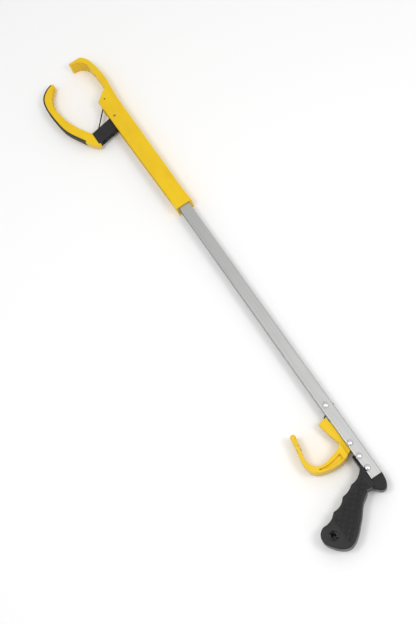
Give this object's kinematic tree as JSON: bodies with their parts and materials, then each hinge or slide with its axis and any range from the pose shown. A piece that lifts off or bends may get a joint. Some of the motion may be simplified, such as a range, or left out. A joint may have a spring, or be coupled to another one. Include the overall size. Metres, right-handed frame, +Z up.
{
  "type": "reacher grabber",
  "caption": "Hand-held reacher grabber: a pistol grip's trigger pulls a cord along a slotted channel shaft and closes a hooked jaw on a fixed one.",
  "frame": {"origin": "centre of the bounding box on the plane the grabber lies on, below its far side", "axes": "+X along the shaft from the jaws to the grip, +Y towards the shaft's top side so the trigger, lower jaw and grip are at -Y, +Z up across the part's width"},
  "size_m": [0.813, 0.1124, 0.022],
  "materials": {
    "satin_aluminium": "satin extruded, fine lengthwise grain",
    "yellow_plastic": "semi-gloss injection moulding, golden yellow",
    "black_grip_plastic": "glossy rim, woven-texture side panels",
    "black_matte_plastic": "matte moulding",
    "black_rubber": "matte strip",
    "black_cord": "braided, matte",
    "rivet_steel": "bright plated, domed",
    "zinc_steel": "zinc plated, satin",
    "spring_steel": "drawn spring wire"
  },
  "bodies": {
    "frame": {"shaft_channel": "satin_aluminium", "fixed_jaw_head": "yellow_plastic", "head_fixing_screws": "zinc_steel", "jaw_hinge_pin": "zinc_steel", "jaw_hinge_washers": "zinc_steel", "jaw_return_spring": "spring_steel", "cord_guide_pin": "black_matte_plastic", "pull_cord_jaw_turn": "black_cord", "pull_cord_trigger_turn": "black_cord", "rear_guide_rivet": "rivet_steel", "rear_guide_spacer": "black_matte_plastic", "trigger_pivot_rivet": "rivet_steel", "trigger_pivot_bush": "zinc_steel", "trigger_washers": "zinc_steel", "grip_rivets": "rivet_steel", "handle_grip": "black_grip_plastic"},
    "jaw": {"jaw_arm": "black_matte_plastic", "moving_jaw": "yellow_plastic", "jaw_outer_pad": "black_rubber", "jaw_fixing_screw": "zinc_steel", "jaw_cord_knot": "black_cord"},
    "trigger": {"trigger_lever": "yellow_plastic", "trigger_cord_knot": "black_cord"},
    "cord": {"pull_cord_run": "black_cord"},
    "jaw_cord": {"pull_cord_jaw_end": "black_cord"},
    "trigger_cord": {"pull_cord_trigger_end": "black_cord"}
  },
  "joints": [
    {"name": "trigger_pull", "type": "hinge", "parent": "frame", "child": "trigger", "pos_m": [0.3032, 0.0379, 0.011], "axis": [0, 0, 1], "range_deg": [-8, 10.4]},
    {"name": "jaw_close", "type": "hinge", "parent": "frame", "child": "jaw", "pos_m": [-0.2821, 0.0345, 0.011], "axis": [0, 0, -1], "range_deg": [-13.52, 17.57], "stiffness_Nm_per_rad": 0.18, "springref_deg": -28.65, "deforming": ["jaw_return_spring"]},
    {"name": "cord_travel", "type": "slide", "parent": "frame", "child": "cord", "axis": [1, 0.0064, 0], "range_m": [-0.00581, 0.00756], "deforming": ["pull_cord_run"]},
    {"name": "jaw_cord_swing", "type": "hinge", "parent": "jaw", "child": "jaw_cord", "pos_m": [-0.28264, 0.00295, 0.011], "axis": [0, 0, 1], "range_deg": [-7.78, 10.11], "deforming": ["pull_cord_jaw_end"]},
    {"name": "trigger_cord_swing", "type": "hinge", "parent": "trigger", "child": "trigger_cord", "pos_m": [0.2596, 0.0283, 0.011], "axis": [0, 0, 1], "range_deg": [-19.62, 15.09], "deforming": ["pull_cord_trigger_end"]}
  ],
  "couplings": [
    {"joint": "jaw_close", "follows": "trigger_pull", "ratio": 1.689},
    {"joint": "cord_travel", "follows": "trigger_pull", "m_per_rad": 0.0416},
    {"joint": "jaw_cord_swing", "follows": "trigger_pull", "ratio": 0.972},
    {"joint": "trigger_cord_swing", "follows": "trigger_pull", "ratio": -1.886}
  ]
}
